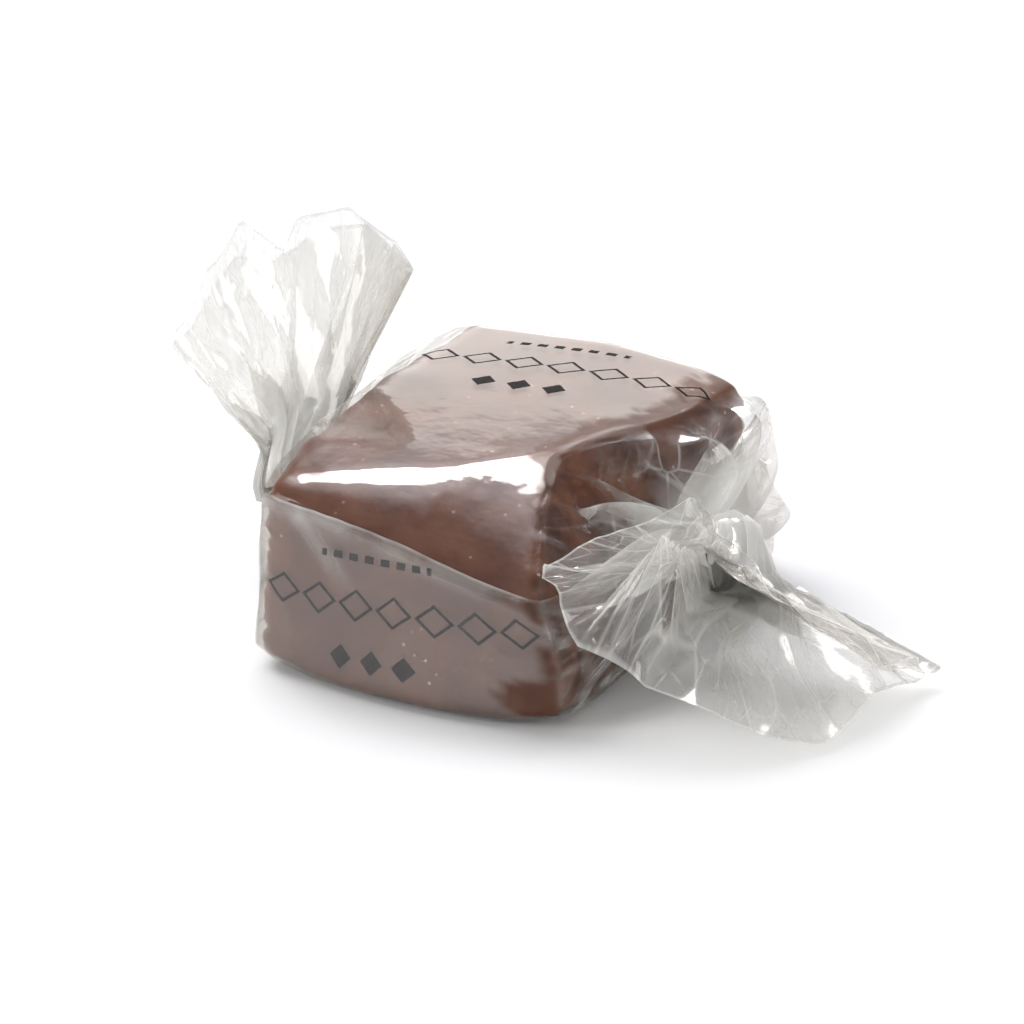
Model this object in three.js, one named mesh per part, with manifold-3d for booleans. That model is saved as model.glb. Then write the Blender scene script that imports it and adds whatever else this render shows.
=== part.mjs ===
// A wrapped caramel: a cut block of caramel in a sheet of clear film, twisted shut at both ends.
// Millimetres. X runs along the twist, the front face looks along -Y, Z is up.
// The origin is the centre of the flat underside of the wrap.
import * as THREE from 'three';
import { mergeVertices } from 'three/addons/utils/BufferGeometryUtils.js';
import Module from 'manifold-3d';

const wasm = await Module();
wasm.setup();

// The caramel block
const BLOCK_LENGTH = 26.3;
const BLOCK_DEPTH = 35.8;
const BLOCK_HEIGHT = 15.7;
const END_EDGE_RADIUS = 1.2;
const LONG_EDGE_RADIUS = 1.4;

// How the block has slumped: it is wider below than above, its faces swell, its top corners droop
// and its bottom corners curl up a little. The right end leans in at the top.
const SLUMP = 0.024;
const TOP_SWELL = 0.45;
const FRONT_BULGE = 2;
const BACK_BULGE = 1.1;
const LEFT_BULGE = 0.9;
const RIGHT_BULGE = 0.1;
const CORNER_DROOP = 1;
const LEFT_BACK_DROOP = 0.3;
const CORNER_LIFT = 0.8;
const LIFT_FROM = 0.55;
const RIGHT_END_LEAN = 0.8;

// The top front edge is pressed into a slope. It is narrow at the left end and wide at the right end,
// and steepens towards the front. The top right corner in front is pressed in towards the left.
const SLOPE_LEFT = 1;
const SLOPE_RIGHT = 14.8;
const SLOPE_CREASE_DEGREES = 9;
const SLOPE_STEEPEST_DEGREES = 36;
const CORNER_PRESS = 6.6;
const CORNER_PRESS_BACK = 11;
const CORNER_PRESS_FRONT = -6;
const SLOPE_STEPS = 6;
const CORNER_STEPS = 3;
const NARROW_FACE_STEPS = 3;
const WIDE_FACE_STEPS = 6;
const BODY_STEPS = 8;
const END_STEPS = 3;

// The film round the block
const FILM_GAP = 0.3;
const FILM_WALL = 0.4;
const LAP_RISE = 0.4;
const LAP_HEIGHT_LEFT = 14.8;
const LAP_HEIGHT_RIGHT = 9;
const LAP_LEDGE = 0.35;
const SEAM_WIDTH = 0.3;
const SEAM_LENGTH = 21;
const SEAM_DEPTH = 4;

// The gathered ends and the twisted necks. Towards the back, the right end stands off the block: there
// it is drawn in late, by a share of fullness, and puffed out.
const TENT_STEPS = 6;
const TENT_HOLLOW = 1.35;
const TENT_FULLNESS = { 1: 0.8, '-1': 0.3 };
const FULL_FROM = -0.3;
const FULL_TO = 0.6;
const TENT_PUFF = 2.2;
const PLEAT_DEPTH = 0.5;
const PLEAT_POINTS = 4;
const PLEAT_WAVE = [1, 0.1, -1, -0.2];
const SHALLOWEST_PLEAT = 0.55;
const PLEAT_SEEDS = { 1: 7, '-1': -7 };
const NECK_LENGTH = 3.8;
const NECK_STEPS = 6;
const NECK_RADIUS = 2.1;
const NECK_WAIST = 0.4;
const NECK_FLARE = 1.1;
const NECK_RIDGE = 0.32;
const NECK_TURN = 1.7;
const NECK_SINK = 0.9;

// The fans of loose film past the necks: each a flattened cone, an upper and a lower layer that
// meet at its two sides. heading and face set its plane, and folds are shared by both layers. tips are
// [angle in degrees, length, height above the plane] along the free edge. A peak is a sharp fold that
// stands up in a layer, at an angle, with a half width in degrees and a height.
const FAN_WALL = 0.4;
const FAN_ROOT = 0.5;
const FAN_STEPS_OUT = 7;
const FAN_FOLD_WAVE = [0, 1, 0.1, -1];
const NARROWEST_FOLD = 0.5;
const WIDEST_FOLD = 1.6;
const FOLD_OPENING = 0.8;
const PEAK_PLACE = 0.8;
const NO_PEAK = { angle: 0, width: 10, height: 0 };
const RIGHT_FAN = {
  seed: 10,
  tentLength: 2.4,
  neckHeight: 8.9,
  heading: [0.76, -0.62, -0.04],
  face: [0.2, 0.22, 0.95],
  folds: 6,
  wave: 0.45,
  layers: [
    {
      tips: [
        [-75.9, 18.9, -0.9], [-63.9, 16.4, 4.4], [-53.7, 10.8, 7.6], [-18.2, 16.1, 4.2],
        [-0.6, 16.4, 2.6], [17.7, 16.4, 0.6], [26, 17.2, -1.2], [52, 19.5, -2.6],
      ],
      peak: NO_PEAK,
    },
    {
      tips: [
        [-75.9, 18.9, -0.9], [-57.3, 21, -4.2], [-35.4, 18.6, -5.4], [-9.6, 19.3, -6.5],
        [6.4, 19.5, -6.6], [27.8, 17.8, -3.2], [52, 19.5, -2.6],
      ],
      peak: { angle: -51, width: 11, height: 9.5 },
    },
  ],
};
const LEFT_FAN = {
  seed: 23,
  tentLength: 2.9,
  neckHeight: 7,
  heading: [-0.352, 0.479, 0.796],
  face: [0.2425, 0.866, -0.414],
  folds: 6,
  wave: 0.3,
  layers: [
    {
      tips: [
        [-41.3, 19.8, 0.6], [-28.5, 20.8, 1.6], [-17.9, 23, 2.8], [-10, 20.8, 3.4],
        [4.4, 22.3, 3.4], [19.7, 22.5, 2.6], [40.3, 20.6, 0.6],
      ],
      peak: NO_PEAK,
    },
    {
      tips: [
        [-41.3, 19.8, 0.6], [-23.4, 20.6, -0.8], [-6.9, 23.6, -2], [5.4, 19.7, -2.4],
        [9.5, 22.4, -2.4], [23.2, 23.7, -1.8], [34.6, 22.1, -0.6], [40.3, 20.6, 0.6],
      ],
      peak: NO_PEAK,
    },
  ],
};

const halfLength = BLOCK_LENGTH / 2;
const halfDepth = BLOCK_DEPTH / 2;
const blockBottom = FILM_GAP + FILM_WALL;
const blockTop = blockBottom + BLOCK_HEIGHT;
const filmOffset = FILM_GAP + FILM_WALL;
const { clamp, lerp, degToRad, smoothstep } = THREE.MathUtils;

// How far along the block x is: 0 at the left end, 1 at the right end.
const alongBlock = (x) => clamp((x + halfLength) / BLOCK_LENGTH, 0, 1);

// The same unevenness for the same whole number each time, from 0 to 1: the part after the point of a
// sine that is stretched so far that neighbouring numbers have nothing in common.
const UNEVEN_STRIDE = 12.9898;
const UNEVEN_START = 4.1;
const UNEVEN_STRETCH = 43758.5453;
function uneven(number) {
  const stretched = Math.sin(number * UNEVEN_STRIDE + UNEVEN_START) * UNEVEN_STRETCH;
  return stretched - Math.floor(stretched);
}

// Where a point of the fresh block is on the slumped one. The right end leans in at the top, and most
// at the corner in front, which is pressed in.
function slumped(x, y, z) {
  const along = clamp(x / halfLength, -1, 1);
  const back = clamp(y / halfDepth, -1, 1);
  const height = (z - blockBottom) / BLOCK_HEIGHT;
  const above = Math.max(height, 0);
  const spread = 1 + SLUMP * (0.5 - height);
  const towardFront = smoothstep(-y, -CORNER_PRESS_BACK, -CORNER_PRESS_FRONT);
  const lean = RIGHT_END_LEAN * height + CORNER_PRESS * towardFront * above ** 3;
  const endBulge = (along < 0 ? LEFT_BULGE : RIGHT_BULGE) * (1 - back ** 2);
  const sideBulge = (back < 0 ? FRONT_BULGE * (1 - above) : BACK_BULGE) * (1 - along ** 2);
  const leftBack = Math.max(-along, 0) * Math.max(back, 0);
  const droop = lerp(CORNER_DROOP, LEFT_BACK_DROOP, leftBack) * along ** 2 * back ** 2;
  const nearEnd = smoothstep(Math.abs(along), LIFT_FROM, 1);
  const lift = CORNER_LIFT * nearEnd * smoothstep(Math.abs(back), LIFT_FROM, 1);
  const swell = TOP_SWELL * (1 - back ** 2) * Math.sqrt(1 - along ** 2);
  return [
    x * spread - lean * Math.max(along, 0) + endBulge * along,
    y * spread + sideBulge * back,
    z + (swell - droop) * above ** 2 + lift * (1 - above) ** 2,
  ];
}

// How far the pressed slope lies below the top, at a share of its width from the crease to the front.
function slopeDrop(share) {
  const crease = Math.tan(degToRad(SLOPE_CREASE_DEGREES));
  const steepest = Math.tan(degToRad(SLOPE_STEEPEST_DEGREES));
  return (crease + (share * (steepest - crease)) / 2) * share;
}

// One closed ring of [y, z] points round the block at x, moved outwards by offset.
// It starts at the lap's free edge on the front face, goes down, under, up the back and over the top.
// lift raises the outer layer of film on the front face, from the bottom edge to the lap's free edge.
function sectionRing(x, offset, lift = 0) {
  const share = alongBlock(x);
  const slope = lerp(SLOPE_LEFT, SLOPE_RIGHT, share);
  const lapHeight = lerp(LAP_HEIGHT_LEFT, LAP_HEIGHT_RIGHT, share);
  const front = -halfDepth;
  const back = halfDepth;
  const radius = LONG_EDGE_RADIUS;
  const ridge = blockTop - slopeDrop(1) * slope;
  const ring = [];

  const place = (y, z, normalY, normalZ, raised) => {
    const out = offset + lift * raised;
    ring.push([y + normalY * out, z + normalZ * out]);
  };
  const face = (from, to, normal, steps, raised = [0, 0]) => {
    for (let step = 0; step < steps; step++) {
      const f = step / steps;
      const [y, z] = [lerp(from[0], to[0], f), lerp(from[1], to[1], f)];
      place(y, z, normal[0], normal[1], lerp(raised[0], raised[1], f));
    }
  };
  const corner = (y, z, startDegrees) => {
    for (let step = 0; step < CORNER_STEPS; step++) {
      const angle = degToRad(startDegrees + (90 * step) / CORNER_STEPS);
      const normalY = Math.cos(angle);
      const normalZ = Math.sin(angle);
      place(y + normalY * radius, z + normalZ * radius, normalY, normalZ, 0);
    }
  };

  face([front, lapHeight], [front, blockBottom + radius], [-1, 0], NARROW_FACE_STEPS, [1, 0]);
  corner(front + radius, blockBottom + radius, 180);
  face([front + radius, blockBottom], [back - radius, blockBottom], [0, -1], WIDE_FACE_STEPS);
  corner(back - radius, blockBottom + radius, 270);
  face([back, blockBottom + radius], [back, blockTop - radius], [1, 0], NARROW_FACE_STEPS);
  corner(back - radius, blockTop - radius, 0);
  face([back - radius, blockTop], [front + slope, blockTop], [0, 1], WIDE_FACE_STEPS);
  for (let step = 0; step <= SLOPE_STEPS; step++) {
    const f = step / SLOPE_STEPS;
    const tilt = lerp(degToRad(SLOPE_CREASE_DEGREES), degToRad(SLOPE_STEEPEST_DEGREES), f);
    place(front + slope * (1 - f), blockTop - slopeDrop(f) * slope, -Math.sin(tilt), Math.cos(tilt), 0);
  }
  face([front, ridge - LAP_LEDGE], [front, lapHeight + LAP_LEDGE], [-1, 0], NARROW_FACE_STEPS);
  place(front, lapHeight + LAP_LEDGE, -1, 0, 0);
  return ring;
}

const RING_POINTS = sectionRing(0, 0).length;

// Moves the grid of a capped cylinder onto a row of rings of [x, y, z] points, right end first.
function loft(rings) {
  const geometry = new THREE.CylinderGeometry(1, 1, 1, RING_POINTS, rings.length - 1);
  const position = geometry.attributes.position;
  const middles = rings.map((ring) => {
    const middle = new THREE.Vector3();
    ring.forEach((point) => middle.add(new THREE.Vector3(...point)));
    return middle.divideScalar(ring.length);
  });
  for (let v = 0; v < position.count; v++) {
    const [x, y, z] = [position.getX(v), position.getY(v), position.getZ(v)];
    const row = Math.round((0.5 - y) * (rings.length - 1));
    const turn = Math.atan2(x, z) / (2 * Math.PI);
    const column = (Math.round(turn * RING_POINTS) + RING_POINTS) % RING_POINTS;
    const target = middles[row].clone().lerp(new THREE.Vector3(...rings[row][column]), Math.hypot(x, z));
    position.setXYZ(v, target.x, target.y, target.z);
  }
  return geometry;
}

const atX = (x, ring) => ring.map(([y, z]) => slumped(x, y, z));

// The rows of rings for a block with rounded ends, moved outwards by offset.
function blockRings(offset, lift = 0) {
  const endRadius = END_EDGE_RADIUS + offset;
  const rounded = [];
  for (let step = 0; step <= END_STEPS; step++) {
    const angle = (Math.PI / 2) * (step / END_STEPS);
    const reach = halfLength - END_EDGE_RADIUS + endRadius * Math.cos(angle);
    rounded.push([reach, offset - endRadius * (1 - Math.sin(angle))]);
  }
  const straight = halfLength - END_EDGE_RADIUS;
  const rows = rounded.map(([reach, out]) => atX(reach, sectionRing(reach, out, lift)));
  for (let step = 1; step < BODY_STEPS; step++) {
    const x = lerp(straight, -straight, step / BODY_STEPS);
    rows.push(atX(x, sectionRing(x, offset, lift)));
  }
  rounded.reverse().forEach(([reach, out]) => rows.push(atX(-reach, sectionRing(-reach, out, lift))));
  return rows;
}

// Film drawn in from the end of the block to the neck, then twisted. side is 1 right, -1 left.
function gatheredEnd(side, { tentLength, neckHeight }) {
  const startX = side * (halfLength + filmOffset);
  const rim = atX(startX, sectionRing(startX, -END_EDGE_RADIUS, LAP_RISE));
  const pleat = (i) => {
    const fold = Math.floor(i / PLEAT_POINTS);
    return PLEAT_WAVE[i % PLEAT_POINTS] * lerp(SHALLOWEST_PLEAT, 1, uneven(fold + PLEAT_SEEDS[side]));
  };
  const neckPoint = (i, radius, turn) => {
    const angle = Math.PI - side * turn + (2 * Math.PI * (i - 1)) / RING_POINTS;
    return [radius * Math.cos(angle), neckHeight + radius * Math.sin(angle)];
  };
  const rows = [];
  for (let step = 1; step <= TENT_STEPS; step++) {
    const s = step / TENT_STEPS;
    const depth = PLEAT_DEPTH * 4 * s * (1 - s);
    rows.push(rim.map(([x, y, z], i) => {
      const full = TENT_FULLNESS[side] * smoothstep(y, FULL_FROM * halfDepth, FULL_TO * halfDepth);
      const neck = neckPoint(i, NECK_RADIUS + NECK_RIDGE * pleat(i), 0);
      const out = TENT_PUFF * full * Math.sin(Math.PI * s) + depth * pleat(i);
      const drawnIn = lerp(s, s ** 2, full);
      return [
        lerp(x, startX + side * tentLength, s ** TENT_HOLLOW) + side * out,
        lerp(y, neck[0], drawnIn),
        lerp(z, neck[1], drawnIn),
      ];
    }));
  }
  for (let step = 1; step <= NECK_STEPS; step++) {
    const s = step / NECK_STEPS;
    const radius = NECK_RADIUS + NECK_FLARE * s * s - NECK_WAIST * Math.sin(Math.PI * s);
    rows.push(rim.map((_, i) => {
      const [y, z] = neckPoint(i, radius + NECK_RIDGE * pleat(i), NECK_TURN * s);
      return [startX + side * (tentLength + NECK_LENGTH * s), y, z];
    }));
  }
  return rows;
}

// Length and height of a fan's free edge at an angle in degrees: straight runs between the tips.
function fanEdge(tips, angle) {
  let k = 0;
  while (k < tips.length - 2 && angle > tips[k + 1][0]) k++;
  const [[fromAngle, fromReach, fromRise], [toAngle, toReach, toRise]] = [tips[k], tips[k + 1]];
  const opening = Math.sin(degToRad(toAngle - fromAngle));
  const past = Math.sin(degToRad(angle - fromAngle));
  const left = Math.sin(degToRad(toAngle - angle));
  return {
    reach: (fromReach * toReach * opening) / (fromReach * past + toReach * left),
    rise: lerp(fromRise, toRise, (angle - fromAngle) / (toAngle - fromAngle)),
  };
}

// Where each column of a fan lies, from 0 to 1: folds of uneven width.
function foldPlaces(folds, seed) {
  const widths = Array.from({ length: folds }, (_, k) => lerp(NARROWEST_FOLD, WIDEST_FOLD, uneven(k + seed)));
  const whole = widths.reduce((sum, width) => sum + width, 0);
  const places = [0];
  widths.forEach((width) => {
    for (let step = 0; step < PLEAT_POINTS; step++) {
      places.push(places[places.length - 1] + width / whole / PLEAT_POINTS);
    }
  });
  return { places, widths };
}

// One pleated layer of loose film: a thin box whose grid is spread into half of a flattened cone.
function fanLayer(root, fan, { tips, peak }) {
  const out = new THREE.Vector3(...fan.heading).normalize();
  const across = new THREE.Vector3(...fan.face).cross(out).normalize();
  const face = out.clone().cross(across);
  const columns = fan.folds * PLEAT_POINTS;
  const { places, widths } = foldPlaces(fan.folds, fan.seed);
  const geometry = new THREE.BoxGeometry(1, 1, 1, columns, FAN_STEPS_OUT, 1);
  const position = geometry.attributes.position;
  for (let v = 0; v < position.count; v++) {
    const column = Math.round((position.getX(v) + 0.5) * columns);
    const s = position.getY(v) + 0.5;
    const angle = lerp(tips[0][0], tips[tips.length - 1][0], places[column]);
    const { reach, rise } = fanEdge(tips, angle);
    const r = lerp(FAN_ROOT, reach, s);
    const bow = Math.sqrt(Math.max(0, 1 - (2 * places[column] - 1) ** 2));
    const fold = Math.min(Math.floor(column / PLEAT_POINTS), fan.folds - 1);
    const wave = fan.wave * FAN_FOLD_WAVE[column % PLEAT_POINTS] * widths[fold] * bow * s ** FOLD_OPENING;
    const standing = peak.height * Math.max(0, 1 - Math.abs(angle - peak.angle) / peak.width);
    const height = rise * s + wave + standing * Math.min(s / PEAK_PLACE, (1 - s) / (1 - PEAK_PLACE));
    const point = root.clone()
      .addScaledVector(out, r * Math.cos(degToRad(angle)))
      .addScaledVector(across, r * Math.sin(degToRad(angle)))
      .addScaledVector(face, height - FAN_WALL * position.getZ(v));
    position.setXYZ(v, point.x, point.y, point.z);
  }
  return geometry;
}

// A three.js geometry as a solid that can be joined and cut, with points closer than SAME_POINT joined.
const SAME_POINT = 1e-5;
function solid(geometry) {
  geometry.deleteAttribute('normal');
  geometry.deleteAttribute('uv');
  const merged = mergeVertices(geometry, SAME_POINT);
  return new wasm.Manifold(new wasm.Mesh({
    numProp: 3,
    vertProperties: Float32Array.from(merged.attributes.position.array),
    triVerts: Uint32Array.from(merged.index.array),
  }));
}

function named(name, body, material) {
  const { numProp, vertProperties, triVerts } = body.getMesh();
  const geometry = new THREE.BufferGeometry();
  geometry.setAttribute('position', new THREE.BufferAttribute(vertProperties, numProp));
  geometry.setIndex(new THREE.BufferAttribute(triVerts, 1));
  geometry.computeVertexNormals();
  const mesh = new THREE.Mesh(geometry, material);
  mesh.name = name;
  return mesh;
}

function wrapper() {
  const right = gatheredEnd(1, RIGHT_FAN);
  const left = gatheredEnd(-1, LEFT_FAN);
  let body = solid(loft([...right.reverse(), ...blockRings(filmOffset, LAP_RISE), ...left]));
  body = body.subtract(solid(loft(blockRings(FILM_GAP))));

  const seam = new THREE.BoxGeometry(SEAM_LENGTH, SEAM_DEPTH, SEAM_WIDTH);
  seam.rotateY(Math.atan2(LAP_HEIGHT_LEFT - LAP_HEIGHT_RIGHT, BLOCK_LENGTH));
  const seamHeight = (LAP_HEIGHT_LEFT + LAP_HEIGHT_RIGHT) / 2 + SEAM_WIDTH;
  seam.translate(0, -halfDepth, seamHeight);
  body = body.subtract(solid(seam));

  [[1, RIGHT_FAN], [-1, LEFT_FAN]].forEach(([side, fan]) => {
    const reach = halfLength + filmOffset + fan.tentLength + NECK_LENGTH - NECK_SINK;
    const root = new THREE.Vector3(side * reach, 0, fan.neckHeight);
    fan.layers.forEach((layer) => {
      body = body.add(solid(fanLayer(root, fan, layer)));
    });
  });
  return body;
}

const caramelMaterial = new THREE.MeshStandardMaterial({ color: 0x5b3a33, roughness: 0.45, metalness: 0 });
const filmMaterial = new THREE.MeshStandardMaterial({ color: 0xdfe3df, roughness: 0.12, metalness: 0 });

const group = new THREE.Group();
group.add(named('caramel', solid(loft(blockRings(0))), caramelMaterial));
group.add(named('wrapper', wrapper(), filmMaterial));

export default group;
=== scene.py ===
"""A block of chocolate-brown caramel in a sheet of clear film that is twisted shut at both ends."""
import math

import bpy
import numpy as np
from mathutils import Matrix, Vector, noise
from mathutils.bvhtree import BVHTree


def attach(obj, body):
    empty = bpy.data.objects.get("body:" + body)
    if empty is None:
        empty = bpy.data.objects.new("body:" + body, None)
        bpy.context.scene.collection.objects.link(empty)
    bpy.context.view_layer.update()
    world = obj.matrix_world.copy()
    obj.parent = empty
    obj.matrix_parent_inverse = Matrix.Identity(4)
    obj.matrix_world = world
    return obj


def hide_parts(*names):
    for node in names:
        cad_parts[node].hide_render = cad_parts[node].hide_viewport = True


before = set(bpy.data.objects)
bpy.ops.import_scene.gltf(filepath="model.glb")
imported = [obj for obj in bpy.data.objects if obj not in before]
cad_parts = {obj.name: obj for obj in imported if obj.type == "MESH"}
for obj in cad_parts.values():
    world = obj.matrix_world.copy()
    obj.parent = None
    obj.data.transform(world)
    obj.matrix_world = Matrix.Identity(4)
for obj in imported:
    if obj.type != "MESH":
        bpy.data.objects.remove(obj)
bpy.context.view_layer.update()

# Camera
# A long lens looks down on the front and the right-hand end, as in the photograph. Metres.
VIEW_AZIMUTH = math.radians(27)
VIEW_ELEVATION = math.radians(25)
VIEW_DISTANCE = 0.62
VIEW_TARGET = Vector((0.0015, -0.003, 0.0105))
LENS = 268
NEAREST_SEEN = 0.01

toward_camera = Vector((
    math.sin(VIEW_AZIMUTH) * math.cos(VIEW_ELEVATION),
    -math.cos(VIEW_AZIMUTH) * math.cos(VIEW_ELEVATION),
    math.sin(VIEW_ELEVATION),
))
bpy.ops.object.camera_add(location=VIEW_TARGET + toward_camera * VIEW_DISTANCE)
camera = bpy.context.object
camera.rotation_euler = (-toward_camera).to_track_quat("-Z", "Y").to_euler()
camera.data.lens = LENS
camera.data.clip_start = NEAREST_SEEN
bpy.context.scene.camera = camera

# Studio light
# Soft boxes round a white table. The back one only shows as a reflection, the streak on the slope, and
# the left one only lights what is matt. The sky's narrow bright place is mirrored at the back of the
# top, and its broad one is a halo round the back light. Metres and watts.
LIT_POINT = Vector((0, 0, 0.008))
SOFTBOXES = [
    # name, place, width, height, power, whether it lights matt surfaces, whether it is reflected
    ("back_light", (-0.20, 0.43, 0.69), 0.46, 0.34, 7.4, False, True),
    ("left_light", (-0.50, 0.16, 0.62), 0.42, 0.42, 4.0, True, False),
    ("front_light", (-0.55, -0.55, 0.39), 0.39, 0.44, 2.1, True, True),
    ("right_light", (0.65, 0.13, 0.29), 0.21, 0.39, 1.0, True, True),
]
BLACK = (0, 0, 0, 1)
WHITE = (1, 1, 1, 1)
SKY_FROM_BELOW_UP = ("LINEAR", (
    (0.05, (0.75, 0.75, 0.75, 1)),
    (0.45, (0.36, 0.36, 0.365, 1)),
    (0.85, (0.16, 0.16, 0.165, 1)),
))
BRIGHT_PLACES = [
    # direction, cosine at its rim, cosine where it is full, light that it adds
    ((-0.39, 0.878, 0.28), 0.976, 0.990, (1.85, 1.84, 1.82)),
    ((-0.239, 0.514, 0.824), 0.85, 0.98, (1.9, 1.9, 2.1)),
]


class Value:
    """A number in a finish. Sums, products and powers of it add Math nodes."""

    def __init__(self, finish, socket):
        self.finish = finish
        self.socket = socket

    def __add__(self, other):
        return self.finish.maths("ADD", self, other)

    def __radd__(self, other):
        return self.finish.maths("ADD", self, other)

    def __sub__(self, other):
        return self.finish.maths("SUBTRACT", self, other)

    def __rsub__(self, other):
        return self.finish.maths("SUBTRACT", other, self)

    def __mul__(self, other):
        return self.finish.maths("MULTIPLY", self, other)

    def __rmul__(self, other):
        return self.finish.maths("MULTIPLY", self, other)

    def __pow__(self, other):
        return self.finish.maths("POWER", self, other)

    def above(self, edge, soft):
        """0 below edge, 1 above it, with a soft step between."""
        settings = {"interpolation_type": "SMOOTHSTEP", "clamp": True}
        inputs = {"Value": self, "From Min": edge - soft, "From Max": edge + soft}
        return self.finish.node("ShaderNodeMapRange", settings, inputs).out("Result")

    def below(self, edge, soft):
        """1 below edge, 0 above it, with a soft step between."""
        return 1 - self.above(edge, soft)

    def apart(self):
        """How far the number is from zero."""
        return self.finish.maths("ABSOLUTE", self)

    def turns(self, period, start):
        """The place in a pattern that repeats, from minus to plus half its period."""
        return self.finish.maths("FLOORED_MODULO", self - start, period) - period / 2


class Node:
    """A node in a finish, with its outputs by name or number."""

    def __init__(self, finish, node):
        self.finish = finish
        self.node = node

    def out(self, name):
        return Value(self.finish, self.node.outputs[name])


class Finish:
    """The look of a material or of the sky, built up node by node."""

    # Blender's numbers for the colour sockets of a Mix node.
    FIRST_COLOUR, SECOND_COLOUR, MIXED_COLOUR = 6, 7, 2

    def __init__(self, owner):
        owner.use_nodes = True
        self.owner = owner
        self.tree = owner.node_tree
        self.tree.nodes.clear()

    def node(self, kind, settings=None, inputs=None):
        """Adds a node: its settings first, then the value or the link of each of its sockets."""
        made = self.tree.nodes.new(kind)
        for setting, value in (settings or {}).items():
            if setting == "stops":
                self.set_stops(made.color_ramp, *value)
            else:
                setattr(made, setting, value)
        for socket, value in (inputs or {}).items():
            if isinstance(value, Value):
                self.tree.links.new(value.socket, made.inputs[socket])
            else:
                made.inputs[socket].default_value = value
        return Node(self, made)

    def set_stops(self, ramp, interpolation, stops):
        """Sets a colour ramp to stops of (place, colour)."""
        ramp.interpolation = interpolation
        while len(ramp.elements) < len(stops):
            ramp.elements.new(0.5)
        for element, (place, colour) in zip(ramp.elements, stops):
            element.position = place
            element.color = colour

    def maths(self, operation, *terms):
        return self.node("ShaderNodeMath", {"operation": operation}, dict(enumerate(terms))).out(0)

    def vector_maths(self, operation, *terms):
        inputs = dict(enumerate(terms))
        return self.node("ShaderNodeVectorMath", {"operation": operation}, inputs).out(0)

    def mix_colour(self, share, first, second):
        inputs = {"Factor": share, self.FIRST_COLOUR: first, self.SECOND_COLOUR: second}
        return self.node("ShaderNodeMix", {"data_type": "RGBA"}, inputs).out(self.MIXED_COLOUR)

    def mix_shaders(self, share, first, second):
        return self.node("ShaderNodeMixShader", None, {0: share, 1: first, 2: second}).out(0)

    def cover(self, piece, surface):
        """Ends the finish with its surface shader, and gives it to a piece."""
        self.node("ShaderNodeOutputMaterial", None, {"Surface": surface})
        piece.data.materials.append(self.owner)


for name, place, width, height, power, lights_matt, is_reflected in SOFTBOXES:
    bpy.ops.object.light_add(type="AREA", location=place)
    light = bpy.context.object
    light.name = name
    light.data.shape = "RECTANGLE"
    light.data.size = width
    light.data.size_y = height
    light.data.energy = power
    light.rotation_euler = (Vector(place) - LIT_POINT).to_track_quat("Z", "Y").to_euler()
    light.visible_diffuse = lights_matt
    light.visible_glossy = is_reflected

world = bpy.data.worlds.new("white_surround")
world.cycles.sampling_method = "NONE"
sky = Finish(world)
direction = sky.node("ShaderNodeTexCoord").out("Generated")
upward = sky.node("ShaderNodeSeparateXYZ", None, {0: direction}).out("Z")
sky_light = sky.node("ShaderNodeValToRGB", {"stops": SKY_FROM_BELOW_UP}, {0: upward}).out(0)
for middle, rim, full, added in BRIGHT_PLACES:
    nearness = sky.node("ShaderNodeVectorMath", {"operation": "DOT_PRODUCT"}, {
        0: direction, 1: Vector(middle).normalized()}).out("Value")
    window_stops = ("EASE", ((rim, BLACK), (full, WHITE)))
    window = sky.node("ShaderNodeValToRGB", {"stops": window_stops}, {0: nearness}).out(0)
    sky_light = sky.vector_maths("MULTIPLY_ADD", window, added, sky_light)
background = sky.node("ShaderNodeBackground", None, {"Color": sky_light}).out(0)
sky.node("ShaderNodeOutputWorld", None, {"Surface": background})
bpy.context.scene.world = world
bpy.context.scene.view_settings.view_transform = "Standard"
bpy.context.scene.cycles.transparent_max_bounces = 16
bpy.context.scene.cycles.max_bounces = 3
bpy.context.scene.cycles.diffuse_bounces = 1
bpy.context.scene.cycles.glossy_bounces = 2

# Floor
# A plain white table top with a faint satin shine, large enough to fill the view. Metres.
FLOOR_SIZE = 6
FLOOR_WHITE = (0.97, 0.97, 0.97, 1)

bpy.ops.object.select_all(action="DESELECT")
bpy.ops.mesh.primitive_plane_add(size=FLOOR_SIZE, location=(0, 0, 0))
floor = bpy.context.object
floor.name = "floor"
white_table = Finish(bpy.data.materials.new("white_table"))
white_table.cover(floor, white_table.node("ShaderNodeBsdfPrincipled", None, {
    "Base Color": FLOOR_WHITE,
    "Roughness": 0.65,
    "Specular IOR Level": 0.25,
}).out(0))

# Caramel
# A block of firm chocolate-brown caramel with a few grains of salt, poured as a slab and cut by knife
# on all four sides. Its top front edge is pressed into a slope that widens to the right, and the
# block has slumped. Millimetres, on the fresh block before it slumps.
MM = 0.001
BLOCK_LENGTH = 27.0
BLOCK_DEPTH = 36.6
BLOCK_HEIGHT = 16.6
BLOCK_UNDERSIDE = 0.2
EDGE_ROUNDING = 1.2
EDGE_SEGMENTS = 5
SLOPE_LEFT = 1.0
SLOPE_RIGHT = 14.8
SLOPE_CREASE = math.radians(9)
SLOPE_STEEPEST = math.radians(36)
SLOPE_CUTS = 14
SAME_POINT = 1e-6
CARAMEL_VOXEL = 0.34
SOFTENING = 0.6
SOFTENING_ROUNDS = 6

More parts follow.
